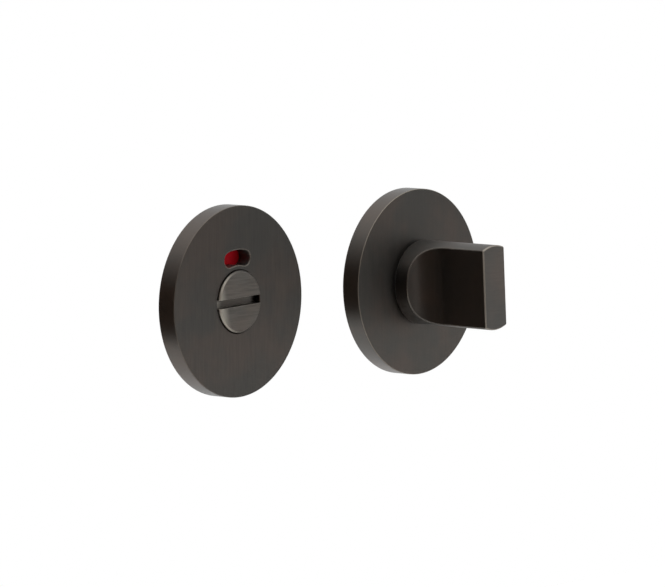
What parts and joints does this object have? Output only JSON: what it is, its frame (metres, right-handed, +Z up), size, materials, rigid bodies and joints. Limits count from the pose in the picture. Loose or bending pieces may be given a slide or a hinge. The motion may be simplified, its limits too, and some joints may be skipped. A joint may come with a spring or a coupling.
{
  "type": "bathroom thumb turn and release set",
  "caption": "Dark bronze bathroom lock set: round rose with a scooped thumb turn, and a matching rose with a slotted coin release and a red occupied window.",
  "frame": {"origin": "on the thumb turn's axis, in the plane of the door face that both halves rest on", "axes": "+Z up, -Y out of the door towards the user, +X to the right seen from the front"},
  "size_m": [0.1277, 0.0511, 0.052],
  "materials": {
    "dark_bronze": "brushed dark bronze over brass",
    "grey_nylon": "moulded glass-filled nylon",
    "black_nylon": "moulded nylon",
    "bright_steel": "zinc-plated steel",
    "spring_steel": "blackened spring steel",
    "indicator_paint": "red field for occupied and white field for free"
  },
  "bodies": {
    "roses": {"turn_rose": "dark_bronze", "turn_backplate": "grey_nylon", "turn_bush": "black_nylon", "turn_stop_pin": "bright_steel", "release_rose": "dark_bronze", "release_backplate": "grey_nylon", "release_posts": "bright_steel", "release_bush": "black_nylon", "release_stop_pin": "bright_steel"},
    "turn": {"thumb_turn": "dark_bronze", "turn_stop_plate": "bright_steel", "turn_disc_spring": "spring_steel", "turn_thrust_washer": "bright_steel", "turn_circlip": "spring_steel", "spindle": "bright_steel", "spindle_grub_screw": "spring_steel"},
    "release": {"coin_turn": "dark_bronze", "indicator_disc": "indicator_paint", "release_disc_spring": "spring_steel", "release_thrust_washer": "bright_steel", "release_circlip": "spring_steel"}
  },
  "joints": [
    {"name": "turn_hinge", "type": "hinge", "parent": "roses", "child": "turn", "pos_m": [0, 0, 0], "axis": [0, -1, 0], "range_deg": [-3.5, 86.5]},
    {"name": "release_hinge", "type": "hinge", "parent": "roses", "child": "release", "pos_m": [-0.0757, 0, 0], "axis": [0, 1, 0], "range_deg": [0, 90]}
  ]
}
